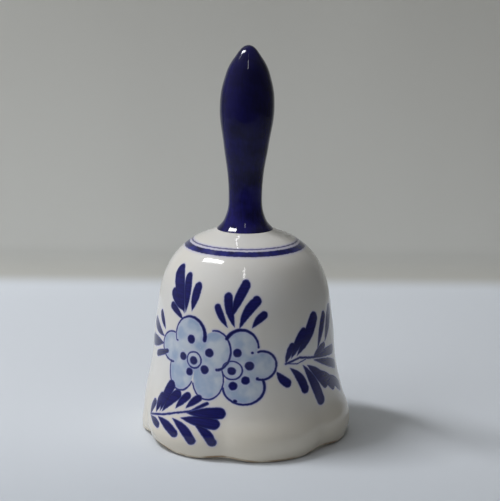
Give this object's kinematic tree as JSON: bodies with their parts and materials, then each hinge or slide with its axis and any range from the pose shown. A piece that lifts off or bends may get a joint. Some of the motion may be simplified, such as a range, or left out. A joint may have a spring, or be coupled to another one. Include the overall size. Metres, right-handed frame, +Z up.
{
  "type": "porcelain hand bell",
  "caption": "Scalloped porcelain bell with a painted floral front, a dark blue glazed drop-shaped handle and a ball clapper on wire links.",
  "frame": {"origin": "on the bell's axis, in the plane that the rim's lobes stand on", "axes": "+Z up along the bell's axis to the tip of the handle; -Y towards the painted front; +X to the right of the front"},
  "size_m": [0.0742, 0.0736, 0.1334],
  "materials": {
    "painted_porcelain": "clear gloss glaze over hand-painted blue",
    "blue_glaze": "clear gloss glaze over brushed cobalt blue",
    "white_porcelain": "clear gloss glaze",
    "plaster": "matte",
    "steel_wire": "drawn wire",
    "brass_wire": "drawn wire"
  },
  "bodies": {
    "bell": {"bell_shell": "painted_porcelain", "handle": "blue_glaze", "hanger_plug": "plaster", "hanger_eye": "steel_wire"},
    "upper_link": {"upper_link": "steel_wire"},
    "lower_link": {"lower_link": "steel_wire"},
    "clapper": {"clapper_pin": "brass_wire"},
    "ball": {"clapper_ball": "white_porcelain"}
  },
  "joints": [
    {"name": "upper_link_turn", "type": "hinge", "parent": "bell", "child": "upper_link", "pos_m": [0, 0, 0.0624], "axis": [0, 0, 1], "range_deg": [-45, 45]},
    {"name": "lower_link_turn", "type": "hinge", "parent": "upper_link", "child": "lower_link", "pos_m": [0, 0, 0.0575], "axis": [0, 0, 1], "range_deg": [-45, 45]},
    {"name": "clapper_swing", "type": "hinge", "parent": "lower_link", "child": "clapper", "pos_m": [0, 0, 0.0521], "axis": [1, 0, 0], "range_deg": [-43, 43]},
    {"name": "ball_spin", "type": "hinge", "parent": "clapper", "child": "ball", "pos_m": [0, 0, 0.021], "axis": [0, 0, 1], "continuous": true}
  ]
}
